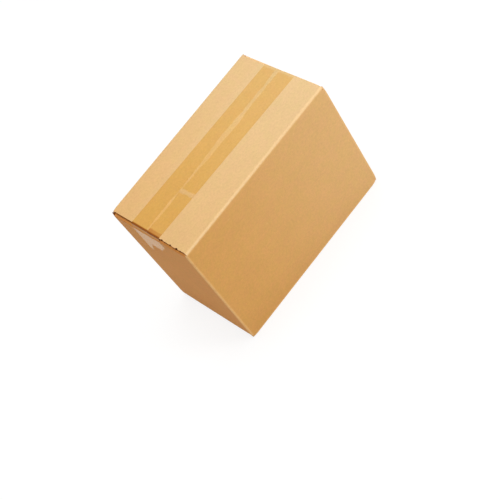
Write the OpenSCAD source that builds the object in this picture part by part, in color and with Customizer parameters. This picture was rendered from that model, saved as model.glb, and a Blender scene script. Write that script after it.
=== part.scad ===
// Closed corrugated carton, a regular slotted case folded from one blank of
// single-wall board and sealed top and bottom with a strip of packing tape.
// Origin: middle of the resting face. X runs along the length, Z is up.

/* [Carton] */
// Outer length, along X
carton_l = 250; // [180:1:400]
// Outer width, along Y
carton_w = 130; // [100:1:170]
// Outer height over the closed flaps
carton_h = 190; // [140:1:400]

/* [Board] */
// Thickness of the corrugated board
board_t = 3; // [2:0.25:5]
// Inner radius of every fold
crease_r = 0.3; // [0.2:0.1:1]
// Clearance between the nested flaps
nest_gap = 0.3; // [0.2:0.1:0.8]

/* [Flaps] */
// Gap left between the two long flaps
seam_gap = 1; // [0.5:0.1:3]
// Sideways shift of the top seam, towards +Y
top_seam_y = 2.5; // [-4:0.5:4]
// Sideways shift of the bottom seam, towards +Y
bottom_seam_y = 0; // [-4:0.5:4]
// Set-back of the -Y flaps' cut edges at the -X end
set_back_left = 2.25; // [1.5:0.25:5]
// Set-back of the -Y flaps' cut edges at the +X end
set_back_right = 3; // [1.5:0.25:5]
// Further set-back of the +Y flaps at the -X end
stagger_left = 0.75; // [0:0.25:2]
// Further set-back of the +Y flaps at the +X end
stagger_right = 1.5; // [0:0.25:2]

/* [Glued joint] */
// Width of the tab glued inside the +X end panel
tab_w = 32; // [20:1:40]
// Height that the tab loses at each slanted end
tab_slant = 8; // [2:1:15]
// Step between the end panel's cut edge and the +Y side
joint_step = 1; // [0.5:0.1:2]
// Depth to which glue fills the groove of the joint
glue_fill = 1; // [0.5:0.1:1.5]

/* [Tape] */
// Width of the packing tape
tape_w = 48; // [36:1:60]
// Thickness of the tape
tape_t = 0.1; // [0.05:0.01:0.2]
// Length of the torn tail on the -X end panel
torn_tail_l = 53; // [48:1:70]
// Length of the two tails on the +X end panel
tail_l = 50; // [40:1:65]
// Distance of the bottom tape's -X end from the flaps' cut edges
bottom_tape_short = 4; // [1:1:20]
// Middle of the top tape at mid-length, towards +Y
top_tape_y = 3.6; // [-5:0.1:8]
// Sideways drift of the top tape from the -X end to the +X end
top_tape_drift = -4.1; // [-8:0.1:8]

/* [Hidden] */
$fn = 64;

// All eight flaps are cut to half the carton's width
flap_l = carton_w / 2;
fold_r = crease_r + board_t;
mid_z = tape_t + carton_h / 2;

// The end flaps lie this far inside the outer faces of the long flaps and sides
tuck = board_t + nest_gap;
// Height of the upright tube, between the folds of the end flaps
tube_h = carton_h - 2 * (tuck + fold_r);
// Centre of the tab's upright fold, inside the glued corner
tab_fold = [carton_l / 2 - board_t - fold_r, carton_w / 2 - fold_r];

// Overlap of forms that are fused, and a length that crosses the whole carton
lap = 0.5;
across_all = 2 * (carton_l + carton_w + carton_h);

// Flats in which a tape bends round the fold of an end panel
bend_flats = 4;
// Torn edge of the top tape: across from its +Y edge, and up from the tail's tip
torn_edge = [[-lap, 3], [5, 0], [14, 19], [tape_w - 14, 20], [tape_w - 7, 27], [tape_w + lap, 34]];

board_colour = [0.86, 0.70, 0.48];
tape_colour = [0.83, 0.66, 0.40];

module rounded_rect(size, r) {
    square([size.x - 2 * r, size.y], center = true);
    square([size.x, size.y - 2 * r], center = true);
    for (sx = [-1, 1], sy = [-1, 1])
        translate([sx * (size.x / 2 - r), sy * (size.y / 2 - r)])
            circle(r);
}

// Board folded once round a rectangle, seen along its creases
module folded_board(size) {
    difference() {
        rounded_rect(size, fold_r);
        rounded_rect(size - 2 * [board_t, board_t], crease_r);
    }
}

// A single fold, from facing +Y round to facing +X
module quarter_fold() {
    intersection() {
        difference() {
            circle(fold_r);
            circle(crease_r);
        }
        square(fold_r);
    }
}

// Plan of the four panels, with the blank's two ends lapped at one corner
module tube_plan() {
    difference() {
        folded_board([carton_l, carton_w]);
        translate(tab_fold)
            square(carton_w);
    }
    translate(tab_fold)
        quarter_fold();
    translate([carton_l / 2 - board_t, tab_fold.y])
        square([board_t, fold_r - joint_step]);
    translate([carton_l / 2 - 1.5 * board_t, tab_fold.y])
        square([board_t, glue_fill]);
}

// Tab glued to the inner face of the +X end panel
module glue_tab() {
    root_y = tab_fold.y + lap;
    free_y = carton_w / 2 - tab_w;
    translate([carton_l / 2 - 2 * board_t, 0, 0])
        rotate([90, 0, 90])
            linear_extrude(board_t + lap)
                polygon([
                    [root_y, -tube_h / 2],
                    [root_y, tube_h / 2],
                    [free_y, tube_h / 2 - tab_slant],
                    [free_y, tab_slant - tube_h / 2],
                ]);
}

// Side view of the two long flaps of one side, with the panel from the tube to
// their creases
module long_flap_section(side) {
    intersection() {
        folded_board([carton_w, carton_h]);
        for (end = [[1, top_seam_y], [-1, bottom_seam_y]])
            translate([end.y + side * (seam_gap + carton_w) / 2, end.x * (tube_h / 2 - lap + carton_h / 2)])
                square([carton_w, carton_h], center = true);
    }
}

// Long flaps, with those of the +Y side cut a little shorter at both ends
module long_flaps() {
    for (side = [-1, 1]) {
        left = set_back_left + (side > 0 ? stagger_left : 0);
        right = set_back_right + (side > 0 ? stagger_right : 0);
        translate([left - carton_l / 2, 0, 0])
            rotate([90, 0, 90])
                linear_extrude(carton_l - left - right)
                    long_flap_section(side);
    }
}

// End flaps, tucked under the long ones
module end_flaps() {
    rotate([90, 0, 0])
        linear_extrude(carton_w - 2 * tuck, center = true)
            difference() {
                folded_board([carton_l, carton_h - 2 * tuck]);
                square([across_all, tube_h - 2 * lap], center = true);
                square([carton_l - 2 * flap_l, across_all], center = true);
            }
}

module carton() {
    color(board_colour)
        translate([0, 0, mid_z]) {
            linear_extrude(tube_h, center = true)
                tube_plan();
            glue_tab();
            long_flaps();
            end_flaps();
        }
}

function reversed(points) = [for (i = [len(points) - 1:-1:0]) points[i]];

// Side view of the surface that a tape covers, raised by grow, from the flaps'
// cut edge to the end of the tail. The taped face is at height 0. The tape runs
// taut to the fold of the end panel, and bends round it in short flats.
function half_path(set_back, tail, grow) =
    let (
        fold = [carton_l / 2 - fold_r, -tuck - fold_r],
        edge = [carton_l / 2 - set_back, 0] - fold,
        lean = atan2(edge.y, edge.x) - acos(fold_r / norm(edge)),
        turn = lean / bend_flats,
        corner_r = (fold_r + grow) / cos(turn / 2)
    )
    concat(
        [[fold.x + (fold_r + grow - (edge.y + grow) * sin(lean)) / cos(lean), grow]],
        [
            for (i = [1:bend_flats])
                let (angle = lean - (i - 0.5) * turn)
                fold + corner_r * [cos(angle), sin(angle)]
        ],
        [[carton_l / 2 + grow, -tail]]
    );

function wrap_path(left_tail, right_tail, grow) =
    let (left = half_path(set_back_left, left_tail, grow))
    concat(
        reversed([for (point = left) [-point.x, point.y]]),
        half_path(set_back_right, right_tail, grow)
    );

// A straight band of tape over the top face and down both ends, or from left_x
// where it is cut off short of the -X end
module tape_band(middle_y, drift, left_tail, right_tail, left_x = -carton_l / 2 - lap) {
    right_x = carton_l / 2 + lap;
    intersection() {
        translate([0, 0, mid_z + carton_h / 2])
            rotate([90, 0, 0])
                linear_extrude(across_all, center = true)
                    polygon(concat(
                        wrap_path(left_tail, right_tail, tape_t),
                        reversed(wrap_path(left_tail, right_tail, 0))
                    ));
        linear_extrude(across_all, center = true)
            polygon([
                for (end = [[left_x, -1], [right_x, -1], [right_x, 1], [left_x, 1]])
                    [end.x, middle_y + end.x * drift / carton_l + end.y * tape_w / 2]
            ]);
    }
}

// What is missing from the torn tail
module torn_away() {
    far_y = top_tape_y - top_tape_drift / 2 + tape_w / 2;
    translate([-carton_l / 2 - lap, far_y, mid_z + carton_h / 2 - torn_tail_l])
        rotate([90, 0, 90])
            linear_extrude(2 * lap)
                mirror([1, 0])
                    polygon(concat([[tape_w + lap, -lap], [-lap, -lap]], torn_edge));
}

module top_tape() {
    color(tape_colour)
        difference() {
            tape_band(top_tape_y, top_tape_drift, torn_tail_l, tail_l);
            torn_away();
        }
}

module bottom_tape() {
    color(tape_colour)
        translate([0, 0, 2 * mid_z])
            mirror([0, 0, 1])
                tape_band(bottom_seam_y, 0, tail_l, tail_l, set_back_left + bottom_tape_short - carton_l / 2);
}

carton();
top_tape();
bottom_tape();
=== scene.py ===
"""Looks of the closed corrugated carton: folded kraft board, packing tape, floor, light and camera.

Lengths are in millimetres until a mesh, lamp or camera is made. X runs along the carton, Z is up.
"""

import math
from types import SimpleNamespace

import bpy
import numpy as np
from mathutils import Matrix, Vector, noise


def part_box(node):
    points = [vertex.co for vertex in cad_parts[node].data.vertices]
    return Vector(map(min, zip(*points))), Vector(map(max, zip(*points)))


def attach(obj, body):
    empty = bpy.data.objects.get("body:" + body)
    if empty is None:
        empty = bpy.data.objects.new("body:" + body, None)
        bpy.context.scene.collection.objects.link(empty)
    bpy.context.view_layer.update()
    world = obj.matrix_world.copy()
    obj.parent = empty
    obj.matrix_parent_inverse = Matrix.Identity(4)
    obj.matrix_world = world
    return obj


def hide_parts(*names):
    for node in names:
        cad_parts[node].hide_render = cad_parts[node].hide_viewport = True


MM = 0.001

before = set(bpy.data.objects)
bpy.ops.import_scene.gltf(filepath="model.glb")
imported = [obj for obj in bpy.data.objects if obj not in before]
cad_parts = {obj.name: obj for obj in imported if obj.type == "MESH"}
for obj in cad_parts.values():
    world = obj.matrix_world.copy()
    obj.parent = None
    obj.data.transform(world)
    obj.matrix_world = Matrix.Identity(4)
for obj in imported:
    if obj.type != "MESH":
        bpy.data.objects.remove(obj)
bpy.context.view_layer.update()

# Sizes of the carton, which repeat those of the solids
low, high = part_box("carton")
LENGTH = (high.x - low.x) / MM
WIDTH = (high.y - low.y) / MM
BASE = low.z / MM
TOP = high.z / MM
BOARD_T = 3.0
LINER_T = 0.4
FOLD_R = 3.3
TUCK = 3.3
FLAP_L = WIDTH / 2
SEAM_GAP = 1.0
TOP_SEAM_Y = 2.5
BOTTOM_SEAM_Y = 0.0
TAB_W = 32.0
TAB_SLANT = 8.0
JOINT_STEP = 1.0
GLUE_GAP = 0.05

# Cut ends of the long flaps, at the -X and the +X end: the flap on the -Y side is a little longer
SET_BACK_LEFT = 2.25
SET_BACK_RIGHT = 3.0
STAGGER_LEFT = 0.75
STAGGER_RIGHT = 1.5
FLAP_ENDS = {
    "S": (SET_BACK_LEFT - LENGTH / 2, LENGTH / 2 - SET_BACK_RIGHT),
    "N": (SET_BACK_LEFT + STAGGER_LEFT - LENGTH / 2, LENGTH / 2 - SET_BACK_RIGHT - STAGGER_RIGHT),
}

# Tape
TAPE_W = 48.0
TAPE_T = 0.1
TORN_TAIL_L = 53.0
TAIL_L = 50.0
BOTTOM_TAPE_SHORT = 4.0
TOP_TAPE_Y = 3.6
TOP_TAPE_DRIFT = -4.1
# Torn edge: across from the tape's +Y edge, and up from the tail's tip
TORN_EDGE = [(0, 3), (5, 0), (14, 19), (34, 20), (41, 27), (48, 34)]

# Mesh steps
PANEL_STEP = 4.0
EDGE_STEPS = (0.8, 2.0, 3.8)
ARC_STEPS = 8
FLAP_CELLS = 48

# Upright tube, between the folds of the end flaps
TUBE_LOW = BASE + TUCK + FOLD_R
TUBE_HIGH = TOP - TUCK - FOLD_R
MIDDLE_Z = (BASE + TOP) / 2
FLAT_X = LENGTH / 2 - FOLD_R
FLAT_Y = WIDTH / 2 - FOLD_R


def wobble(x, y, z, pitch, seed):
    """Smooth noise from about -1 to 1, with bumps about pitch apart."""
    return noise.noise(Vector((x / pitch + seed, y / pitch + 0.37 * seed, z / pitch)))


# How square a fold is: 2 is a quarter circle, and more comes closer to a sharp corner
FOLD_SQUARENESS = 3.4


def fold_reach(turn):
    """Distance from the centre of a fold to its outer face, at an angle in radians."""
    spread = abs(math.cos(turn)) ** FOLD_SQUARENESS + abs(math.sin(turn)) ** FOLD_SQUARENESS
    return FOLD_R * spread ** (-1 / FOLD_SQUARENESS)


def smooth(value):
    value = min(1.0, max(0.0, value))
    return value * value * (3 - 2 * value)


def blend(stations, place):
    """Value at a place, between stations of (place, value)."""
    return float(np.interp(place, [s[0] for s in stations], [s[1] for s in stations]))


def spaced(start, end, step=PANEL_STEP, near=EDGE_STEPS):
    """Places from start to end, closer together near both ends."""
    length = abs(end - start)
    count = math.ceil((length - 2 * near[-1]) / step)
    middle = np.linspace(near[-1], length - near[-1], count + 1)
    offsets = [0.0, *near[:-1], *middle, *[length - o for o in reversed(near[:-1])], length]
    return [start + math.copysign(o, end - start) for o in offsets]


# Settling of the board: shapes that a real carton has and the solids leave straight

# How far the two long flaps of the top have sunk at the seam
SINK = {"S": 0.15, "N": 0.8}
# Corners that are pushed in: place, depth and radius
CRUSHED = [
    ((1, -1, 1), 1.4, 7.0),
    ((1, 1, 1), 0.3, 4.0),
    ((-1, -1, 1), 0.2, 4.0),
    ((-1, 1, 1), 1.2, 5.0),
    ((1, -1, -1), 1.2, 6.0),
    ((-1, -1, -1), 0.6, 5.0),
    ((-1, 1, -1), 1.0, 6.0),
    ((1, 1, -1), 0.8, 5.0),
]
# A crushed corner is pushed in along X and Y alike, and a little less along Z
CRUSH_Z = 0.9
CRUSH_LENGTH = 1.68
# How far an upright panel is pushed in at its middle, at most, and the size and pitch of its ripples
PANEL_BOW = 0.5
RIPPLE, RIPPLE_PITCH = 0.16, 34
# How unevenly the top has sunk along the seam, and the height and pitch of its shallow humps
SINK_VARIES, SINK_PITCH = 0.18, 75
HUMP, HUMP_PITCH = 0.1, 30
# Corners at which the carton is a little out of square: the end panel leans in by this much
LEAN = [((-1, 1, -1), 1.6), ((1, 1, 1), 1.6)]


def settle(x, y, z):
    """How far a point is moved, along X, Y and Z, by the lean and by crushed corners."""
    total = np.zeros(3)
    for signs, amount in LEAN:
        share = 1 + signs[0] * x / (LENGTH / 2)
        share *= 1 + signs[1] * y / (WIDTH / 2)
        share *= 1 + signs[2] * (z - MIDDLE_Z) / ((TOP - BASE) / 2)
        total[0] -= signs[0] * amount * share / 8
    for signs, depth, radius in CRUSHED:
        away = np.array([
            x - signs[0] * LENGTH / 2,
            y - signs[1] * WIDTH / 2,
            z - (TOP if signs[2] > 0 else BASE),
        ])
        reach = math.exp(-float(away @ away) / radius**2)
        if reach > 0.01:
            total -= np.array([signs[0], signs[1], CRUSH_Z * signs[2]]) * depth * reach / CRUSH_LENGTH
    return total


def bow(panel, place, z):
    """How far an upright panel is pushed in at a place along it and a height."""
    half = FLAT_Y if panel in "EW" else FLAT_X
    across = max(0.0, 1 - (place / half) ** 2)
    up = max(0.0, 1 - ((z - MIDDLE_Z) / (TUBE_HIGH - MIDDLE_Z)) ** 2)
    number = "ESWN".index(panel)
    wide = 0.5 + 0.5 * wobble(place, z, number * 31, 95, 2.0)
    fine = RIPPLE * wobble(place, z, number * 17, RIPPLE_PITCH, 5.0) * min(1, 6 * across * up)
    return max(0.0, PANEL_BOW * across * up * wide + fine)


def flap_sink(flap, place, y):
    """How far a long flap of the top has sunk at a point."""
    flat = WIDTH / 2 - FOLD_R - (TOP_SEAM_Y if flap == "N" else -TOP_SEAM_Y) - SEAM_GAP / 2
    depth = FLAT_Y - abs(y) if (y > 0) == (flap == "N") else FLAT_Y + abs(y)
    share = min(1.0, max(0.0, depth / flat))
    uneven = 1 + SINK_VARIES * wobble(place, 0, 0, SINK_PITCH, 3.0 if flap == "N" else 8.0)
    fine = HUMP * (0.6 + wobble(place, y, 4, HUMP_PITCH, 6.0)) * smooth(4 * share * (1 - share))
    return SINK[flap] * share**1.4 * uneven + max(0.0, fine)


def tuck_sink(place, y):
    """How far an end flap of the top has sunk: it gives way under the long flaps."""
    share = smooth((y + 8) / (TOP_SEAM_Y + 8))
    near = flap_sink("S", place, min(y, TOP_SEAM_Y))
    far = flap_sink("N", place, max(y, TOP_SEAM_Y))
    return (1 - share) * near + share * far


# Small ribs that the flutes press into the fold of an end panel
RIB_H = 0.16
RIB_PITCH = 6.6


def rib(place, panel):
    """Height of the ribs at a place along the fold."""
    uneven = 0.6 + 0.5 * wobble(place, 0, 0, 17, 4.0 + "EW".find(panel))
    return RIB_H * (0.5 + 0.5 * math.sin(place / RIB_PITCH * 2 * math.pi)) * uneven


# The flat blank as a grid of columns round the carton and rows up it

# How high the board left standing in the slots rises: over most corners, over the -X and +Y corner,
# and over the glued joint
CORNER_CROWN = 5.8
HIGH_CROWN = 6.4
JOINT_CROWN = 3.3
# How pale the +X and -Y fold and the -X and +Y fold are, by wear and a painted highlight, as a share of the
# other two
RIGHT_WEAR_AND_HIGHLIGHT = 0.2
FAR_WEAR_AND_HIGHLIGHT = 0.3
# How pale an upright fold is by wear and a painted highlight, clockwise from one face to the next
CORNER_WEAR_AND_HIGHLIGHT = [
    (0.0, 0.0), (0.125, 0.2), (0.25, 0.6), (0.375, 0.9), (0.5, 1.0), (0.625, 0.9), (0.75, 0.6),
    (0.875, 0.25), (1.0, 0.0),
]
# How pale the fold of a long flap is by wear and a painted highlight, from the side panel at 0 to the flap
# at 1
FLAP_WEAR_AND_HIGHLIGHT = [(-0.5, 0.0), (0.0, 0.2), (0.25, 0.92), (0.4, 1.0), (0.6, 0.75), (0.8, 0.2), (1.0, 0.0)]
# How pale the folds of the +Y flaps are, as a share of that: they face away from the light and take less
# painted highlight
FAR_FLAP_SHARE = 0.3
# Painted shade on the fold of the top's -X end flap, under the long flaps' cut edges, from the end panel at
# 0 to the flap at 1
FOLD_SHADE = [(0.0, 0.0), (0.4, 1.0), (0.7, 0.9), (1.0, 0.7)]
# Painted light on the fold of the top's +X end flap, which lies in shade beyond the long flaps' ends,
# counted the same way
FAR_FOLD_PAINTED_LIGHT = [(0.0, 0.1), (0.3, 0.8), (1.0, 0.8)]

OUT = {"E": (1, 0), "S": (0, -1), "W": (-1, 0), "N": (0, 1)}
HALF = {"E": LENGTH / 2, "W": LENGTH / 2, "S": WIDTH / 2, "N": WIDTH / 2}
columns = []


def add_column(x, y, out, panel=None, flap=None, place=None, crease=0.0, crown=0.0, lower=0.0):
    columns.append(SimpleNamespace(
        x=x, y=y, out=out, panel=panel, flap=flap, place=place, crease=crease, crown=crown, lower=lower
    ))


def add_corner(x, y, first, flaps=None, wear_and_highlight_share=1.0, crown=CORNER_CROWN):
    """An upright fold that turns a quarter from an angle in degrees, going clockwise."""
    for i in range(1, ARC_STEPS):
        turn = math.radians(first - 90 * i / ARC_STEPS)
        reach = fold_reach(turn)
        flap, place = (flaps or {}).get(i, (None, None))
        add_column(
            x + reach * math.cos(turn), y + reach * math.sin(turn),
            (math.cos(turn), math.sin(turn)), flap=flap, place=place,
            crease=wear_and_highlight_share * blend(CORNER_WEAR_AND_HIGHLIGHT, i / ARC_STEPS),
            crown=crown * math.sin(math.pi * i / ARC_STEPS),
        )


def lay_out_columns():
    raw = WIDTH / 2 - JOINT_STEP
    for y in [raw, raw - 0.8, *spaced(FLAT_Y, -FLAT_Y)]:
        in_slot = y > FLAT_Y
        rise = 0.7 * JOINT_CROWN if in_slot else 0.0
        add_column(LENGTH / 2, y, OUT["E"], "E", None if in_slot else "E", y, crown=rise)
    last = ARC_STEPS - 1
    add_corner(FLAT_X, -FLAT_Y, 0, {last: ("S", FLAP_ENDS["S"][1])}, RIGHT_WEAR_AND_HIGHLIGHT)
    for x in spaced(FLAT_X, -FLAT_X):
        add_column(x, -WIDTH / 2, OUT["S"], "S", "S", x)
    add_corner(-FLAT_X, -FLAT_Y, -90, {1: ("S", FLAP_ENDS["S"][0])})
    for y in spaced(-FLAT_Y, FLAT_Y):
        add_column(-LENGTH / 2, y, OUT["W"], "W", "W", y)
    add_corner(-FLAT_X, FLAT_Y, 180, {last: ("N", FLAP_ENDS["N"][0])}, FAR_WEAR_AND_HIGHLIGHT, HIGH_CROWN)
    tab_x = LENGTH / 2 - BOARD_T - FOLD_R - GLUE_GAP
    for x in spaced(-FLAT_X, tab_x):
        add_column(x, WIDTH / 2, OUT["N"], "N", "N", x)
    end = FLAP_ENDS["N"][1]
    add_corner(tab_x, FLAT_Y, 90, {1: ("N", (tab_x + end) / 2), 2: ("N", end)}, crown=JOINT_CROWN)
    for y in spaced(FLAT_Y, WIDTH / 2 - TAB_W):
        share = (FLAT_Y - y) / (FLAT_Y - WIDTH / 2 + TAB_W)
        add_column(tab_x + FOLD_R, y, OUT["E"], lower=TAB_SLANT * share)


def long_steps(seam, side):
    """Rows of a long flap: inward from the panel, up from the tube, and how far each faces up."""
    flat = FLAT_Y - side * seam - SEAM_GAP / 2
    steps = [(0.0, TUCK / 2, 0.0), (0.0, TUCK, 0.0)]
    for i in range(1, ARC_STEPS + 1):
        turn = math.pi / 2 * i / ARC_STEPS
        reach = fold_reach(turn)
        steps.append((FOLD_R - reach * math.cos(turn), TUCK + reach * math.sin(turn), math.sin(turn)))
    return steps + [(FOLD_R + d, TUCK + FOLD_R, 1.0) for d in spaced(0, flat, flat / FLAP_CELLS)[1:]]


def end_steps(count):
    """Rows of an end flap, as many as a long flap has."""
    steps = []
    for i in range(1, ARC_STEPS + 1):
        turn = math.pi / 2 * i / ARC_STEPS
        reach = fold_reach(turn)
        steps.append((FOLD_R - reach * math.cos(turn), reach * math.sin(turn), math.sin(turn)))
    flat = FLAP_L - FOLD_R
    places = [*EDGE_STEPS, *np.linspace(EDGE_STEPS[-1], flat - 0.8, count - len(steps) - 3)[1:], flat]
    return steps + [(FOLD_R + d, FOLD_R, 1.0) for d in places]


lay_out_columns()
FLAP_STEPS = {}
for level, seam in ((1, TOP_SEAM_Y), (-1, BOTTOM_SEAM_Y)):
    FLAP_STEPS["N", level] = long_steps(seam, 1)
    FLAP_STEPS["S", level] = long_steps(seam, -1)
    FLAP_STEPS["E", level] = end_steps(len(FLAP_STEPS["N", level]))
    FLAP_STEPS["W", level] = FLAP_STEPS["E", level]
FLAP_ROWS = len(FLAP_STEPS["N", 1])
TUBE_Z = spaced(TUBE_LOW, TUBE_HIGH)
ROWS = 2 * FLAP_ROWS + len(TUBE_Z)


def tube_point(column, z):
    """Outer point of the upright tube, the way it faces, how pale it is by wear and painted highlight, and
    its painted shade.
    """
    if z in (TUBE_LOW, TUBE_HIGH):
        z += math.copysign(column.crown, z - MIDDLE_Z)
    z += column.lower * (MIDDLE_Z - z) / (TUBE_HIGH - MIDDLE_Z)
    point = np.array([column.x, column.y, z])
    out = np.array([*column.out, 0.0])
    if column.panel:
        point = point - out * bow(column.panel, column.place, z)
    return point, out, column.crease, 0.0


# How far the cut ends of the top's long flaps lie out of line along X, at the -X and the +X end:
# towards their fold, from this far out along Y and over this length
FOLD_WANDER = {"S": (-0.5, 1.4), "N": (-1.6, 2.2)}
FOLD_WANDER_Y = 58
FOLD_WANDER_OVER = 6
# A bulge of the -Y flap's end at -X, with its place and width along Y
BULGE = -0.5
BULGE_Y = -46
BULGE_WIDTH = 10
# The +Y flap is short at -X all along, and reaches further at +X from this far out along Y
FAR_SHORT = 0.9
FAR_REACH = 1.0
FAR_REACH_Y = 40
FAR_REACH_OVER = 25


def cut_wander(flap, place, y):
    """How far the cut end of a long flap lies out of line along X."""
    if place not in FLAP_ENDS[flap]:
        return 0.0
    end = FLAP_ENDS[flap].index(place)
    wander = FOLD_WANDER[flap][end] * smooth((abs(y) - FOLD_WANDER_Y) / FOLD_WANDER_OVER)
    if (flap, end) == ("S", 0):
        wander += BULGE * math.exp(-((y - BULGE_Y) / BULGE_WIDTH) ** 2)
    elif (flap, end) == ("N", 0):
        wander += FAR_SHORT
    elif (flap, end) == ("N", 1):
        wander += FAR_REACH * smooth((y - FAR_REACH_Y) / FAR_REACH_OVER)
    return wander


def flap_point(column, row, level):
    """The same for a point of a flap, counted in rows from the tube."""
    inward, rise, up = FLAP_STEPS[column.flap, level][row]
    facing = OUT[column.flap]
    out = math.sqrt(max(0.0, 1 - up * up))
    far = HALF[column.flap] - inward
    along = (abs(facing[1]), abs(facing[0]))
    end_z = TUBE_HIGH if level > 0 else TUBE_LOW
    point = np.array([
        facing[0] * far + along[0] * column.place,
        facing[1] * far + along[1] * column.place,
        end_z + level * rise,
    ])
    normal = np.array([facing[0] * out, facing[1] * out, level * up])
    if column.flap in "EW":
        point = point - normal * rib(column.place, column.flap) * math.sin(math.pi * min(1, up))
    if level > 0 and column.flap in "SN":
        point[2] -= flap_sink(column.flap, point[0], point[1]) * up
        point[0] += cut_wander(column.flap, column.place, point[1]) * smooth(3 * up)
    elif level > 0:
        point[2] -= tuck_sink(point[0], point[1]) * up
    turned = math.asin(min(1.0, up)) / (math.pi / 2)
    if column.flap in "EW":
        # Painted light on the +X end flap's fold
        wear_and_highlight = blend(FAR_FOLD_PAINTED_LIGHT, turned) if level > 0 and column.flap == "E" else 0.0
        # Painted shade on the -X end flap's fold, under the long flaps' edges
        painted_shade = blend(FOLD_SHADE, turned) if level > 0 and column.flap == "W" else 0.0
        return point, normal, wear_and_highlight, painted_shade
    # Wear and a painted highlight on the folds of the long flaps
    wear_and_highlight = blend(FLAP_WEAR_AND_HIGHLIGHT, turned if rise >= TUCK else -0.5)
    return point, normal, wear_and_highlight if column.flap == "S" else FAR_FLAP_SHARE * wear_and_highlight, 0.0


def grid_point(i, j):
    column = columns[i]
    if j < FLAP_ROWS:
        return flap_point(column, FLAP_ROWS - 1 - j, -1)
    if j < FLAP_ROWS + len(TUBE_Z):
        return tube_point(column, TUBE_Z[j - FLAP_ROWS])
    return flap_point(column, j - FLAP_ROWS - len(TUBE_Z), 1)


def cell_is_cut_out(i, j):
    """Slots between the flaps hold no board."""
    if FLAP_ROWS <= j < FLAP_ROWS + len(TUBE_Z) - 1:
        return False
    return columns[i].flap is None or columns[i].flap != columns[i + 1].flap


# Where the near flap's cut end stands open between its liners: place along Y, width and depth
OPEN_FLUTES = [
    (-12, 1.5, 3.1), (-18, 1.0, 1.8), (-23.2, 2.1, 3.4), (-29, 1.2, 2.1), (-37.8, 1.6, 3.4), (-42, 0.8, 1.4),
    (-48.2, 2.1, 4.2), (-54.5, 2.2, 2.3), (-60, 2.0, 2.2),
]
# How far the fluting is set back in the rest of that end, in the far flap's end and in the corners' slots
SHALLOW_CUT = 0.9
FAR_CUT = 1.15
CORNER_CUT = 0.1
# The same at every other cut edge, and how much it varies
PLAIN_CUT = 0.8
PLAIN_CUT_VARIES = 0.5
# How far the liner over an open flute is torn back, as a share of what is deeper than TORN_FROM
TORN_SHARE = 0.52
TORN_FROM = 1.8 * SHALLOW_CUT


def cut_depth(point):
    """How far the fluting is set back between the liners at a cut edge."""
    x, y, z = point
    if x < -LENGTH / 2 + 4 and z > TOP - 5:
        if y > TOP_SEAM_Y:
            return FAR_CUT
        near = max(depth * math.exp(-((y - place) / width) ** 4) for place, width, depth in OPEN_FLUTES)
        return max(SHALLOW_CUT, near)
    if abs(x) > FLAT_X - 2 and abs(y) > FLAT_Y - 1:
        return CORNER_CUT
    return PLAIN_CUT + PLAIN_CUT_VARIES * wobble(x, y, z, 5, 1.0)


def torn_back(column, point):
    """How far the outer liner is torn back where a flute of the near flap's cut end stands open."""
    if column.place != FLAP_ENDS["S"][0] or point[2] < TUBE_HIGH:
        return 0.0
    return TORN_SHARE * max(0.0, cut_depth(point) - TORN_FROM)


# Faces that meet at more than this many degrees show a sharp edge
SHARP_ANGLE = 42


def make_piece(name, points, faces, materials, face_materials, attributes):
    mesh = bpy.data.meshes.new(name)
    mesh.from_pydata([tuple(c * MM for c in p) for p in points], [], faces)
    for material in materials:
        mesh.materials.append(material)
    mesh.polygons.foreach_set("material_index", face_materials)
    mesh.polygons.foreach_set("use_smooth", [True] * len(faces))
    for key, values in attributes.items():
        layer = mesh.attributes.new(key, "FLOAT", "POINT")
        layer.data.foreach_set("value", values)
    mesh.update()
    mesh.set_sharp_from_angle(angle=math.radians(SHARP_ANGLE))
    piece = bpy.data.objects.new(name, mesh)
    bpy.context.scene.collection.objects.link(piece)
    return piece


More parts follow.
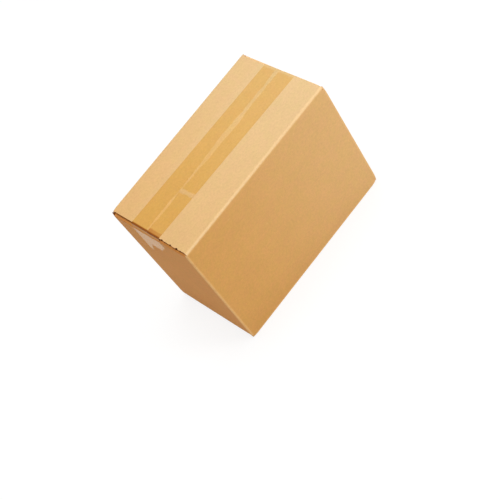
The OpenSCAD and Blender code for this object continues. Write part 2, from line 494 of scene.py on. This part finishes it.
def make_board(materials):
    """The blank as one closed shell with liners, open cut edges and all its folds."""
    last = len(columns) - 1
    cells = {(i, j) for i in range(last) for j in range(ROWS - 1) if not cell_is_cut_out(i, j)}
    points, crease, recess, faces, face_materials = [], [], [], [], []
    outer, inner, facing, plain = {}, {}, {}, {}

    # A point, with how pale its fold is by wear and painted highlight, and how much painted shade it takes
    def add_point(point, wear_and_highlight, depth):
        points.append(point + settle(*point))
        crease.append(wear_and_highlight)
        recess.append(depth)
        return len(points) - 1

    for i, j in sorted(cells):
        for corner in ((i, j), (i + 1, j), (i, j + 1), (i + 1, j + 1)):
            if corner not in outer:
                point, normal, wear_and_highlight, depth = grid_point(*corner)
                torn = np.array([torn_back(columns[corner[0]], point), 0.0, 0.0])
                outer[corner] = add_point(point + torn, wear_and_highlight, depth)
                inner[corner] = add_point(point - BOARD_T * normal, 0.0, 0.0)
                facing[corner] = normal
                plain[corner] = point

    def add_face(corners, material):
        faces.append(corners)
        face_materials.append(material)

    rims = {}

    def rim(corner):
        """Points across a cut edge: under each liner, and at the fluting set back between them."""
        if corner in rims:
            return rims[corner]
        i, j = corner
        mine = [c for c in ((i, j), (i - 1, j), (i, j - 1), (i - 1, j - 1)) if c in cells]
        here = points[outer[corner]]
        middle = np.mean([
            np.mean([plain[a + p, b + q] for p in (0, 1) for q in (0, 1)], axis=0)
            for a, b in mine
        ], axis=0)
        inward = middle - plain[corner]
        inward -= facing[corner] * (inward @ facing[corner])
        inward /= np.linalg.norm(inward)
        through = points[inner[corner]] - here
        upper = here + through * LINER_T / BOARD_T
        lower = here + through * (1 - LINER_T / BOARD_T)
        depth = cut_depth(here)
        rims[corner] = []
        for point in (upper, upper + inward * depth, lower + inward * depth, lower):
            points.append(point)
            crease.append(0.0)
            recess.append(depth)
            rims[corner].append(len(points) - 1)
        return rims[corner]

    for i, j in sorted(cells):
        ring = [(i, j), (i, j + 1), (i + 1, j + 1), (i + 1, j)]
        add_face([outer[c] for c in ring], 0)
        add_face([inner[c] for c in reversed(ring)], 1)
        beyond = [(i - 1, j), (i, j + 1), (i + 1, j), (i, j - 1)]
        for k, other in enumerate(beyond):
            if other in cells:
                continue
            a, b = ring[k], ring[(k + 1) % 4]
            steps_a = [outer[a], *rim(a), inner[a]]
            steps_b = [outer[b], *rim(b), inner[b]]
            for n, material in enumerate((1, 2, 2, 2, 1)):
                add_face([steps_b[n], steps_a[n], steps_a[n + 1], steps_b[n + 1]], material)
    # crease: how pale the folds are by wear and painted highlight; recess: painted shade of the -X fold, and
    # at cut edges how far the fluting is set back
    attributes = {"crease": crease, "recess": recess}
    return make_piece("board", points, faces, materials, face_materials, attributes)


# Tape: a strip that follows the board, taut over the recess at each end

# Width of the pale band along the top seam, where the tape bridges a step, as (X, width)
BAND_WIDTH = [
    (-125, 2.8), (-112, 2.6), (-104, 3.8), (-93, 4.2), (-80, 4.0), (-72, 3.0), (-66, 2.4), (-60, 3.0),
    (-54, 2.2), (-48, 3.4), (-38, 3.6), (-25, 4.8), (-12, 7.0), (-4, 6.6), (4, 7.4), (18, 8.6), (33, 8.8),
    (48, 8.0), (56, 5.6), (66, 6.2), (78, 5.6), (88, 6.4), (96, 4.0), (104, 5.6), (114, 6.6), (125, 5.0),
]
# How pale the band is
BAND_GLOW = [
    (-125, 0.75), (-112, 0.75), (-104, 0.8), (-86, 0.85), (-80, 1.0), (-73, 0.9), (-68, 0.6), (-61, 0.75),
    (-55, 0.5), (-50, 0.75), (-45, 0.95), (-38, 0.8), (-25, 0.75), (-12, 0.65), (0, 0.72), (20, 0.78),
    (35, 0.82), (45, 0.95), (57, 1.0), (66, 0.85), (80, 0.85), (92, 0.75), (105, 0.95), (114, 1.0),
    (125, 0.9),
]
# Middle of the band, as (X, Y)
BAND_MIDDLE = [
    (-125, 3.2), (-105, 3.2), (-90, 2.8), (-75, 3.2), (-60, 2.8), (-45, 2.7), (-30, 3.0), (-18, 2.6),
    (-8, 2.6), (4, 3.2), (18, 3.6), (33, 2.8), (48, 2.8), (58, 3.2), (75, 3.8), (92, 3.4), (104, 3.8),
    (125, 4.4),
]
# Band of the bottom tape
BOTTOM_BAND_WIDTH = 2.4
BOTTOM_GLOW = 0.7
# Values of a place far outside the band and the wrinkle
OFF_BAND = -4.0
OFF_WRINKLE = -9.0
# Wrinkle across the -Y half of the top tape
WRINKLE_X = -61.5
WRINKLE_W = 6.5
WRINKLE_H = 0.14
WRINKLE_SLANT = -0.06
# Steps of the tape's mesh: along it, across it, and the first ones from its ends and from its edges
TAPE_STEP = 1.5
CROSS_STEP = 1.2
TAPE_END_STEPS = (0.3, 0.9, 2.0)
TAPE_EDGE_STEPS = (0.25, 0.7, 1.5)
# Height of the tape's underside over what it lies on
TAPE_LIFT = 0.02
# Length over which the bottom tape's end at -X, under the carton, runs in from its +Y corner
SHORT_END = 3
# Stations of the taut part, as shares of the way from the flaps' edge to the fold of the end flap
TAUT_SHARES = (0.05, 0.16, 0.30, 0.48, 0.72, 1.0)
# Stations round that fold, as shares of the angle from where the tape touches it to the end panel
FOLD_SHARES = (0.66, 0.33, 0.0)
# How dark the recess shows through the taut stations, and through the nearest ones of the top face,
# counted from the flaps' edge
TAUT_SHADE = {"N": (1.0, 0.6, 0.1, 0.0, 0.0, 0.0), "S": (1.0, 0.9, 0.5, 0.0, 0.0, 0.0)}
TOP_SHADE = {"N": (1.0, 1.0, 1.0, 0.35), "S": (1.0, 1.0, 0.6, 0.2)}
# Teeth of the blade that cut the tape
CUT_PITCH = 2.4
CUT_DEPTH = 0.9


def tail_stations(side, set_back, tail):
    """Side view of the tape from the top's flap edge to the tail's tip.

    Each station gives x, height over the top face, the way it faces along X and Z, and how much it
    follows the top and the fold of the end flap.
    """
    fold = (LENGTH / 2 - FOLD_R, -TUCK - FOLD_R)
    edge = (LENGTH / 2 - set_back - fold[0], -fold[1])
    lean = math.atan2(edge[1], edge[0]) - math.acos(FOLD_R / math.hypot(*edge))
    touch = (fold[0] + FOLD_R * math.cos(lean), fold[1] + FOLD_R * math.sin(lean))
    brow = (LENGTH / 2 - set_back, 0.0)
    tilt = (math.pi / 2 + lean) / 2
    stations = [(side * brow[0], 0.0, side * math.cos(tilt), math.sin(tilt), 1.0, 0.0)]
    for share in TAUT_SHARES:
        stations.append((
            side * (brow[0] + (touch[0] - brow[0]) * share), touch[1] * share,
            side * math.cos(lean), math.sin(lean), 1 - share, share * math.sin(lean),
        ))
    for turn in (share * lean for share in FOLD_SHARES):
        stations.append((
            side * (fold[0] + FOLD_R * math.cos(turn)), fold[1] + FOLD_R * math.sin(turn),
            side * math.cos(turn), math.sin(turn), 0.0, math.sin(turn),
        ))
    count = math.ceil((tail + fold[1]) / TAPE_STEP)
    for i in range(1, count + 1):
        stations.append((side * LENGTH / 2, fold[1] - (tail + fold[1]) * i / count, side, 0.0, 0.0, 0.0))
    return stations


def torn_shape(across):
    """How far up from the tip a torn tail ends."""
    jag = 0.9 * wobble(across, 0, 0, 2.2, 3.0) + 1.1 * wobble(across, 9, 0, 6.0, 5.0)
    return max(0.0, blend(TORN_EDGE, across) + jag)


def cut_shape(across):
    """How far up from the tip a tail ends that a toothed blade cut."""
    return CUT_DEPTH * abs((across / CUT_PITCH) % 1 * 2 - 1)


def top_sink(x, y):
    """Sink of the taped face: the tape bridges the step from one long flap to the other."""
    near_edge = TOP_SEAM_Y - SEAM_GAP / 2
    far_edge = max(near_edge + SEAM_GAP, blend(BAND_MIDDLE, x) + blend(BAND_WIDTH, x) / 2)
    if y <= near_edge:
        return flap_sink("S", x, y)
    if y >= far_edge:
        return flap_sink("N", x, y)
    share = (y - near_edge) / (far_edge - near_edge)
    return (1 - share) * flap_sink("S", x, near_edge) + share * flap_sink("N", x, far_edge)


def wrinkle_at(x, y):
    """How far inside the wrinkle a point lies, less than 0 outside it."""
    middle = WRINKLE_X + 1.2 * wobble(0, y, 0, 14, 2.0) + WRINKLE_SLANT * (y + 10)
    width = WRINKLE_W * (1 + 0.25 * wobble(0, y, 3, 9, 4.0)) * smooth((TOP_SEAM_Y + 1.5 - y) / 3)
    return width / 2 - abs(x - middle)


def recess_shade(beyond, y):
    """How dark the recess shows through the tape, so many stations beyond the flaps' edge."""
    flap = "N" if y > TOP_SEAM_Y else "S"
    if beyond > 0:
        return TAUT_SHADE[flap][beyond - 1] if beyond <= len(TAUT_SHARES) else 0.0
    return TOP_SHADE[flap][-beyond]


def make_tape(name, material, level, middle_y, drift, seam, tails, ends):
    """A strip of tape on the top or the bottom of the carton, as one closed sheet."""
    left = tail_stations(-1, SET_BACK_LEFT, tails[0]) if tails[0] else []
    right = tail_stations(1, SET_BACK_RIGHT, tails[1])
    left_x = left[0][0] if left else SET_BACK_LEFT + BOTTOM_TAPE_SHORT - LENGTH / 2
    flat = spaced(left_x, right[0][0], TAPE_STEP, TAPE_END_STEPS)[1 if left else 0:-1]
    stations = left[::-1] + [(x, 0.0, 0.0, 1.0, 1.0, 0.0) for x in flat] + right
    places = spaced(TAPE_W / 2, -TAPE_W / 2, CROSS_STEP, TAPE_EDGE_STEPS)
    points, attributes = [], {"band": [], "glow": [], "wrinkle": [], "rim": [], "hollow": [], "taut": []}
    # Stations from the flaps' edge to the straight tail, and how high that starts
    bent = 1 + len(TAUT_SHARES) + len(FOLD_SHARES)
    hang = -TUCK - FOLD_R
    for s, (x, rise, out, up, on_top, on_fold) in enumerate(stations):
        half = 0 if s < len(stations) / 2 else 1
        end, tail = ends[half], tails[half]
        # Stations beyond the flaps' edge, and distance from the tape's nearer end
        beyond = len(left) - 1 - s if x < 0 else s - len(stations) + len(right)
        tip = min(s, len(stations) - 1 - s) * TAPE_STEP
        over_recess = level > 0 and x < 0 and -len(TOP_SHADE["S"]) < beyond < bent
        for place in places:
            y = middle_y + x / LENGTH * drift + place
            height = rise
            if not left and x < left_x + SHORT_END:
                x = x + end(TAPE_W / 2 - place) * (1 - (x - left_x) / SHORT_END)
            if beyond >= bent:
                short = end(TAPE_W / 2 - place)
                height = hang + (rise - hang) * (tail + hang - short) / (tail + hang)
            z = TOP + height
            side = "E" if x > 0 else "W"
            sink = on_top * top_sink(x, y) + on_fold * tuck_sink(x, y) if level > 0 else 0.0
            push = bow(side, y, z if level > 0 else BASE + TOP - z) if not (on_top or on_fold) else 0.0
            inside = wrinkle_at(x, y)
            lift = WRINKLE_H * smooth(inside / 2.5 + 0.2) if level > 0 and up == 1.0 else 0.0
            for offset in (TAPE_T, TAPE_LIFT):
                point = np.array([
                    x + out * offset - math.copysign(push, x),
                    y,
                    z + up * offset - sink + min(lift, sink),
                ])
                if level < 0:
                    point[2] = BASE + TOP - point[2]
                points.append(point + settle(*point))
                attributes["taut"].append(float(0 < beyond <= len(TAUT_SHARES) + 2))
                attributes["hollow"].append(recess_shade(beyond, y) if over_recess else 0.0)
                width = blend(BAND_WIDTH, x) if level > 0 else BOTTOM_BAND_WIDTH
                middle = blend(BAND_MIDDLE, x) if level > 0 else seam
                attributes["band"].append(width / 2 - abs(y - middle) if up == 1.0 else OFF_BAND)
                attributes["glow"].append(blend(BAND_GLOW, x) if level > 0 else BOTTOM_GLOW)
                attributes["wrinkle"].append(inside if level > 0 and up == 1.0 else OFF_WRINKLE)
                attributes["rim"].append(min(TAPE_W / 2 - abs(place), tip))
    wide, tall = len(places), len(stations)

    def at(s, p, under):
        return 2 * (s * wide + p) + under

    faces = []
    for s in range(tall - 1):
        for p in range(wide - 1):
            ring = [(s, p), (s, p + 1), (s + 1, p + 1), (s + 1, p)]
            faces.append([at(a, b, 0) for a, b in ring])
            faces.append([at(a, b, 1) for a, b in reversed(ring)])
    rim = [(s, 0) for s in range(tall)] + [(tall - 1, p) for p in range(1, wide)]
    rim += [(s, wide - 1) for s in range(tall - 2, -1, -1)] + [(0, p) for p in range(wide - 2, 0, -1)]
    for a, b in zip(rim, rim[1:] + rim[:1]):
        faces.append([at(*a, 0), at(*b, 0), at(*b, 1), at(*a, 1)])
    if level < 0:
        faces = [face[::-1] for face in faces]
    return make_piece(name, points, faces, [material], [0] * len(faces), attributes)


# Materials

class Shader:
    """The nodes of a material or a world, built line by line."""

    def __init__(self, owner):
        self.owner = owner
        owner.use_nodes = True
        self.nodes = owner.node_tree.nodes
        self.links = owner.node_tree.links
        self.nodes.clear()

    def add(self, kind, inputs, **settings):
        node = self.nodes.new("ShaderNode" + kind)
        for key, value in settings.items():
            setattr(node, key, value)
        for key, value in inputs.items():
            if isinstance(value, bpy.types.NodeSocket):
                self.links.new(value, node.inputs[key])
            else:
                node.inputs[key].default_value = value
        return node

    def math(self, operation, a, b=0.0, c=0.0):
        return self.add("Math", {0: a, 1: b, 2: c}, operation=operation).outputs[0]

    def noise(self, vector, pitch, detail=2.0, roughness=0.5):
        inputs = {"Vector": vector, "Scale": 1 / pitch, "Detail": detail, "Roughness": roughness}
        return self.add("TexNoise", inputs).outputs[0]

    def ragged(self, value, noise, amount):
        """A value that a noise makes uneven, by up to half the amount either way."""
        return self.math("MULTIPLY_ADD", self.math("SUBTRACT", noise, 0.5), amount, value)

    def step(self, value, start, end, low=0.0, high=1.0):
        """Rises smoothly from low to high as value goes from start to end."""
        inputs = {"Value": value, "From Min": start, "From Max": end, "To Min": low, "To Max": high}
        return self.add("MapRange", inputs, interpolation_type="SMOOTHSTEP").outputs[0]

    def mix(self, factor, a, b):
        node = self.add("Mix", {0: factor, 6: a, 7: b}, data_type="RGBA")
        return node.outputs[2]

    def scaled(self, colour, amount):
        return self.add("VectorMath", {0: colour, "Scale": amount}, operation="SCALE").outputs[0]

    def tinted(self, colour, tint):
        return self.add("VectorMath", {0: colour, 1: tint}, operation="MULTIPLY").outputs[0]

    def attribute(self, name):
        return self.add("Attribute", {}, attribute_name=name).outputs["Fac"]

    def place(self, stretch=(1, 1, 1), turn=(0, 0, 0)):
        """Coordinates in millimetres, stretched or turned."""
        where = self.add("TexCoord", {}).outputs["Object"]
        scale = tuple(s / MM for s in stretch)
        return self.add("Mapping", {"Vector": where, "Scale": scale, "Rotation": turn}).outputs[0]

    def shown_white(self):
        """1 for the rays that show the backdrop, and 0 for those by which it only lights the carton."""
        path = self.add("LightPath", {}).outputs
        seen = self.math("MAXIMUM", path["Is Camera Ray"], path["Is Glossy Ray"])
        return self.math("MAXIMUM", seen, path["Is Transmission Ray"])

    def finish(self, colour, height, depth, **inputs):
        """Joins a colour to the surface, and a height as bumps of a depth in metres."""
        bump = self.add("Bump", {"Height": height, "Distance": depth, "Strength": 1.0}).outputs[0]
        values = {"Base Color": colour, "Normal": bump}
        values.update({key.replace("_", " "): value for key, value in inputs.items()})
        surface = self.add("BsdfPrincipled", values).outputs[0]
        self.add("OutputMaterial", {"Surface": surface})
        return self.owner


# Painted light: the board is darker and warmer at its -X end, and turns paler and cooler between these
# places
KRAFT_WARM = (0.685, 0.360, 0.099, 1)
KRAFT_COOL = (0.710, 0.432, 0.168, 1)
LIGHT_DRIFT_SPAN = (-150, 150)
# Pitch of each pattern in the pulp, and how much it adds to the darkest tone
CLOUD_PITCH, CLOUD_TONE = 34, 0.09
MOTTLE_PITCH, MOTTLE_TONE = 2.8, 0.29
GRAIN_PITCH, GRAIN_TONE = 1.1, 0.16
DARKEST_TONE = 0.73
# Pitch and tint of the patches that are a little bluer
HUE_PITCH = 11
HUE_TINT = (1.02, 0.98, 1.06)
# Painted sheen: the top face is paler where the light falls on it, a little less so beyond these places
# along Y
TOP_SHEEN = (0.90, 0.98, 0.72, 1)
TOP_SHEEN_SPAN = (24, 42)
TOP_SHEEN_SHARES = (0.155, 0.125)
# Painted shade on the -X end panel, which faces away from the light, and on its fold under the long flaps'
# edges
END_PANEL_SHADE = (1.0, 0.88, 0.87)
SHADED_TINT = (0.93, 0.80, 0.63)
# Folds paler by wear and a painted highlight: round the top and the +X end, and up the corners
KRAFT_PALE = (0.88, 0.60, 0.31, 1)
UPRIGHT_PALE = (0.92, 0.56, 0.225, 1)
# Dark fibres in the pulp
FIBRE_DARK = (0.36, 0.19, 0.065, 1)
# Cut edges of the liners and of the fluting, and painted shade on both where the fluting is set back far
CUT_TINT = (0.98, 0.69, 0.38, 1)
FLUTING_TINT = (0.74, 0.43, 0.17, 1)
DEEP_SHADE_TINT = (0.15, 0.045, 0.004, 1)
DEEP_SPAN = (0.1, 2.1)
# How much kraft mirrors
KRAFT_SHINE = 0.1


def kraft(shader):
    """Colour and height of kraft liner: cloudy pulp, fine mottle and fibres."""
    place = shader.place()
    cloud = shader.noise(place, CLOUD_PITCH, 3)
    mottle = shader.noise(place, MOTTLE_PITCH, 4, 0.62)
    grain = shader.noise(place, GRAIN_PITCH, 2)
    hue = shader.noise(shader.place(turn=(0.4, 0.9, 0.2)), HUE_PITCH, 3)
    strands = shader.noise(shader.place((1.6, 0.16, 0.16), (0.5, 0.35, 0.7)), 1.0, 2)
    threads = shader.noise(shader.place((0.2, 1.5, 0.2), (0.8, -0.5, 0.4)), 1.0, 2)
    tone = shader.math("MULTIPLY_ADD", cloud, CLOUD_TONE, DARKEST_TONE)
    tone = shader.math("MULTIPLY_ADD", mottle, MOTTLE_TONE, tone)
    tone = shader.math("MULTIPLY_ADD", grain, GRAIN_TONE, tone)
    axes = shader.add("SeparateXYZ", {0: place}).outputs
    # Painted light: paler and cooler towards +X
    drift = shader.step(axes["X"], *LIGHT_DRIFT_SPAN)
    colour = shader.mix(drift, KRAFT_WARM, KRAFT_COOL)
    colour = shader.mix(shader.step(hue, 0.35, 0.65), colour, shader.tinted(colour, HUE_TINT))
    # Painted sheen that makes the top face paler
    on_top = shader.step(axes["Z"], TOP - 3, TOP - 0.5)
    top_sheen = shader.math("MULTIPLY", on_top, shader.step(axes["Y"], *TOP_SHEEN_SPAN, *TOP_SHEEN_SHARES))
    colour = shader.mix(top_sheen, colour, TOP_SHEEN)
    colour = shader.scaled(colour, tone)
    colour = shader.mix(shader.step(strands, 0.70, 0.78, 0, 0.30), colour, FIBRE_DARK)
    colour = shader.mix(shader.step(threads, 0.70, 0.80, 0, 0.25), colour, KRAFT_PALE)
    height = shader.math("MULTIPLY_ADD", mottle, 0.6, shader.math("MULTIPLY", grain, 0.35))
    height = shader.math("MULTIPLY_ADD", strands, 0.5, height)
    return colour, height


def board_material():
    """The outer liner, with its fibres stretched and paler at the worn folds, which also take a painted
    highlight.
    """
    shader = Shader(bpy.data.materials.new("kraft_liner"))
    colour, height = kraft(shader)
    place = shader.place()
    axes = shader.add("SeparateXYZ", {0: place}).outputs
    # Painted shade on the -X end panel
    on_end = shader.step(axes["X"], 1.8 - LENGTH / 2, 3 - LENGTH / 2, 1.0, 0.0)
    colour = shader.mix(on_end, colour, shader.tinted(colour, END_PANEL_SHADE))
    # Paler folds: wear, and a painted highlight where they face the light
    crease = shader.attribute("crease")
    wear_and_highlight = shader.math("MULTIPLY", crease, shader.step(shader.noise(place, 2.2, 4), 0.30, 0.62, 0.62, 1.0))
    round_top = shader.step(axes["Z"], TOP - 3.5, TOP - 1.3)
    round_top = shader.math("MAXIMUM", round_top, shader.step(axes["X"], LENGTH / 2 - 8, LENGTH / 2 - 5))
    colour = shader.mix(wear_and_highlight, colour, shader.mix(round_top, UPRIGHT_PALE, KRAFT_PALE))
    # Painted shade on the -X end flap's fold, under the long flaps' edges
    colour = shader.mix(shader.attribute("recess"), colour, shader.tinted(colour, SHADED_TINT))
    return shader.finish(colour, height, 0.06 * MM, Roughness=0.7, Specular_IOR_Level=KRAFT_SHINE)


def cut_material():
    """Cut edges of the liners, and the unseen inner liner."""
    shader = Shader(bpy.data.materials.new("kraft_cut"))
    colour, height = kraft(shader)
    deep = shader.step(shader.attribute("recess"), *DEEP_SPAN)
    # Painted shade where the fluting is set back far
    colour = shader.tinted(colour, shader.mix(deep, CUT_TINT, DEEP_SHADE_TINT))
    return shader.finish(colour, height, 0.08 * MM, Roughness=0.85, Specular_IOR_Level=KRAFT_SHINE)


def core_material():
    """Fluting between the liners at a cut edge."""
    shader = Shader(bpy.data.materials.new("kraft_fluting"))
    colour, height = kraft(shader)
    deep = shader.step(shader.attribute("recess"), *DEEP_SPAN)
    # Painted shade where the fluting is set back far
    colour = shader.tinted(colour, shader.mix(deep, FLUTING_TINT, DEEP_SHADE_TINT))
    return shader.finish(colour, height, 0.2 * MM, Roughness=0.9, Specular_IOR_Level=KRAFT_SHINE)


# Tints the tape gives the board: stuck and bridging, at the -X and +X end with painted light paler at +X,
# and elsewhere
STUCK_WARM = (0.900, 0.765, 0.375, 1)
STUCK_COOL = (0.930, 0.805, 0.52, 1)
BRIDGE_WARM = (1.09, 0.965, 0.66, 1)
BRIDGE_COOL = (0.975, 0.945, 0.81, 1)
WET_TINT = (1.0, 0.96, 0.88)
RIM_TINT = (0.93, 0.92, 0.86)
WRINKLE_TINT = (0.945, 0.90, 0.79)
TAUT_TINT = (0.96, 0.88, 1.0)
# The tails: the tape's tint with a painted reflection of the white floor, paler than where it sticks on top
TAIL_TINT_AND_REFLECTION = (1.01, 0.895, 0.49)
# Colour of the recess between the flaps' cut edges and the end panel, seen through the tape
RECESS_SHADE = (0.25, 0.06, 0.001, 1)
# The tails start between these heights
TAIL_SPAN = (TOP - 6.0, TOP - 8.0)
# Over the near flap's end at the -X side the tape is darker, up to these places along X, and more so
# towards the seam, between these places along Y
END_SHADE = (0.785, 0.59, 0.42)
END_SPAN = (-118.3, -116.3)
END_SPAN_Y = (-19, 2.5)
# At the +X end of the top the tape has lifted off the board from these places along X on, and is paler
# by this share
LIFT_SPAN = (116.8, 120.3)
LIFT_SHARE = 0.9
# Gloss of the tape where it lies flat, and how much of it is lost where it is taut or over the recess
TAPE_COAT = 0.43
COAT_LOSS = 0.42


def tape_material():
    """Clear tape: it deepens the board's colour where it sticks, and leaves it pale where it doesn't."""
    shader = Shader(bpy.data.materials.new("packing_tape"))
    colour, height = kraft(shader)
    place = shader.place()
    fine = shader.noise(place, 1.6, 3)
    broad = shader.noise(place, 6.5, 3)
    band = shader.ragged(shader.attribute("band"), fine, 1.6)
    band = shader.ragged(band, broad, 2.2)
    bridge = shader.math("MULTIPLY", shader.step(band, -0.5, 0.7), shader.attribute("glow"))
    wrinkle = shader.ragged(shader.attribute("wrinkle"), broad, 3.0)
    wrinkle = shader.step(wrinkle, -0.7, 1.6, 0, 0.85)
    axes = shader.add("SeparateXYZ", {0: place}).outputs
    # Painted light: the tape's tints turn paler and cooler towards +X
    drift = shader.step(axes["X"], *LIGHT_DRIFT_SPAN)
    taut = shader.attribute("taut")
    hanging = shader.step(axes["Z"], *TAIL_SPAN)
    stuck = shader.tinted(colour, shader.mix(drift, STUCK_WARM, STUCK_COOL))
    bridging = shader.tinted(colour, shader.mix(drift, BRIDGE_WARM, BRIDGE_COOL))
    wetter = shader.step(shader.noise(place, 9, 3), 0.45, 0.75, 0, 0.5)
    stuck = shader.mix(wetter, stuck, shader.tinted(stuck, WET_TINT))
    rim = shader.step(shader.attribute("rim"), 0.2, 1.6, 0.35, 0)
    stuck = shader.mix(rim, stuck, shader.tinted(stuck, RIM_TINT))
    along = shader.ragged(axes["X"], broad, 2.5)
    over_end = shader.step(along, *END_SPAN, 1.0, 0.0)
    over_end = shader.math("MULTIPLY", over_end, shader.step(axes["Y"], *END_SPAN_Y, 0.7, 1.0))
    on_near_flap = shader.step(axes["Y"], TOP_SEAM_Y - 0.5, TOP_SEAM_Y + 0.5, 1.0, 0.0)
    over_end = shader.math("MULTIPLY", over_end, on_near_flap)
    stuck = shader.mix(over_end, stuck, shader.tinted(stuck, END_SHADE))
    lifted = shader.step(along, *LIFT_SPAN, 0.0, LIFT_SHARE)
    lifted = shader.math("MULTIPLY", lifted, shader.step(axes["Z"], TOP - 1.8, TOP - 1.2))
    bridge = shader.math("MAXIMUM", bridge, lifted)
    stuck = shader.mix(taut, stuck, shader.tinted(colour, TAUT_TINT))
    # Painted reflection of the white floor on the tails
    stuck = shader.mix(hanging, stuck, shader.tinted(colour, TAIL_TINT_AND_REFLECTION))
    stuck = shader.mix(bridge, stuck, bridging)
    stuck = shader.mix(wrinkle, stuck, shader.tinted(colour, WRINKLE_TINT))
    hollow = shader.step(shader.attribute("hollow"), 0.1, 0.8, 0, 0.95)
    colour = shader.mix(hollow, stuck, RECESS_SHADE)
    dull = shader.math("MAXIMUM", taut, hollow)
    coat = shader.math("MULTIPLY_ADD", dull, -COAT_LOSS, TAPE_COAT)
    return shader.finish(
        colour, height, 0.03 * MM, Roughness=0.45, Specular_IOR_Level=0.05,
        Coat_Weight=coat, Coat_Roughness=0.22, Coat_IOR=1.45,
    )


liner = board_material()
board = make_board([liner, cut_material(), core_material()])
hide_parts("carton")
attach(board, "root")

tape = tape_material()
top_strip = make_tape(
    "top_strip", tape, 1, TOP_TAPE_Y, TOP_TAPE_DRIFT, TOP_SEAM_Y,
    (TORN_TAIL_L, TAIL_L), (torn_shape, cut_shape),
)
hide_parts("top_tape")
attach(top_strip, "root")

bottom_strip = make_tape(
    "bottom_strip", tape, -1, BOTTOM_SEAM_Y, 0.0, BOTTOM_SEAM_Y,
    (0, TAIL_L), (cut_shape, cut_shape),
)
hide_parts("bottom_tape")
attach(bottom_strip, "root")


# Floor, light and camera

WHITE = (1, 1, 1, 1)
# The floor as the carton is lit by it, and as it shows: a grey that takes the shadow, over a glow
PAPER = (0.8, 0.8, 0.8, 1)
SHADOW_CATCH = (0.22, 0.22, 0.22, 1)
PAPER_GLOW = 0.82


def floor_material():
    """White paper sweep: it shows white to the camera and to gloss, and keeps a soft shadow."""
    shader = Shader(bpy.data.materials.new("white_sweep"))
    lit = shader.add("BsdfDiffuse", {"Color": PAPER}).outputs[0]
    shown = shader.add("BsdfDiffuse", {"Color": SHADOW_CATCH}).outputs[0]
    white = shader.add("Emission", {"Color": WHITE, "Strength": PAPER_GLOW}).outputs[0]
    shown = shader.add("AddShader", {0: shown, 1: white}).outputs[0]
    surface = shader.add("MixShader", {0: shader.shown_white(), 1: lit, 2: shown}).outputs[0]
    shader.add("OutputMaterial", {"Surface": surface})
    return shader.owner


# In metres. The floor lies a hair under the carton, so that the two faces don't coincide
FLOOR_SIZE = 12.0
FLOOR_Z = -0.03 * MM
floor_mesh = bpy.data.meshes.new("floor")
half = FLOOR_SIZE / 2
floor_corners = [(-half, -half), (half, -half), (half, half), (-half, half)]
floor_mesh.from_pydata([(x, y, FLOOR_Z) for x, y in floor_corners], [], [(0, 1, 2, 3)])
floor_mesh.materials.append(floor_material())
floor = bpy.data.objects.new("floor", floor_mesh)
bpy.context.scene.collection.objects.link(floor)

# Strength of the even light from all round, which shows as plain white
AMBIENT = 0.56
sky = Shader(bpy.data.worlds.new("studio"))
strength = sky.math("MULTIPLY_ADD", sky.shown_white(), 1.0 - AMBIENT, AMBIENT)
backdrop = sky.add("Background", {"Color": WHITE, "Strength": strength}).outputs[0]
sky.add("OutputWorld", {"Surface": backdrop})
bpy.context.scene.world = sky.owner

# Where the lamps point, in metres
TARGET = Vector((0, 0, 0.1))


def add_lamp(name, direction, distance, size, power):
    """A round softbox that points at the carton."""
    data = bpy.data.lights.new(name, "AREA")
    data.shape = "DISK"
    data.size = size
    data.energy = power
    lamp = bpy.data.objects.new(name, data)
    towards = Vector(direction).normalized()
    lamp.location = TARGET + towards * distance
    lamp.rotation_euler = (-towards).to_track_quat("-Z", "Y").to_euler()
    bpy.context.scene.collection.objects.link(lamp)


add_lamp("key", (0.55, -0.72, 0.42), 1.5, 0.8, 8.0)
add_lamp("overhead", (0.12, 0.10, 0.98), 1.6, 0.8, 10.5)

# Camera: where the straight edges of the carton put it, in metres, and the way it looks
CAMERA_AT = (-0.36787, -0.99268, 1.24598)
CAMERA_RIGHT = (0.60914, -0.68670, -0.39674)
CAMERA_DOWN = (-0.76636, -0.38094, -0.51729)
CAMERA_AHEAD = (0.20409, 0.61914, -0.75830)
CAMERA_LENS = 94.807
camera_data = bpy.data.cameras.new("camera")
camera_data.sensor_width = 36.0
camera_data.lens = CAMERA_LENS
camera = bpy.data.objects.new("camera", camera_data)
turn = Matrix((CAMERA_RIGHT, [-c for c in CAMERA_DOWN], [-c for c in CAMERA_AHEAD])).transposed()
camera.matrix_world = Matrix.Translation(CAMERA_AT) @ turn.to_4x4()
bpy.context.scene.collection.objects.link(camera)
bpy.context.scene.camera = camera
bpy.context.scene.view_settings.view_transform = "Standard"

bpy.context.view_layer.update()
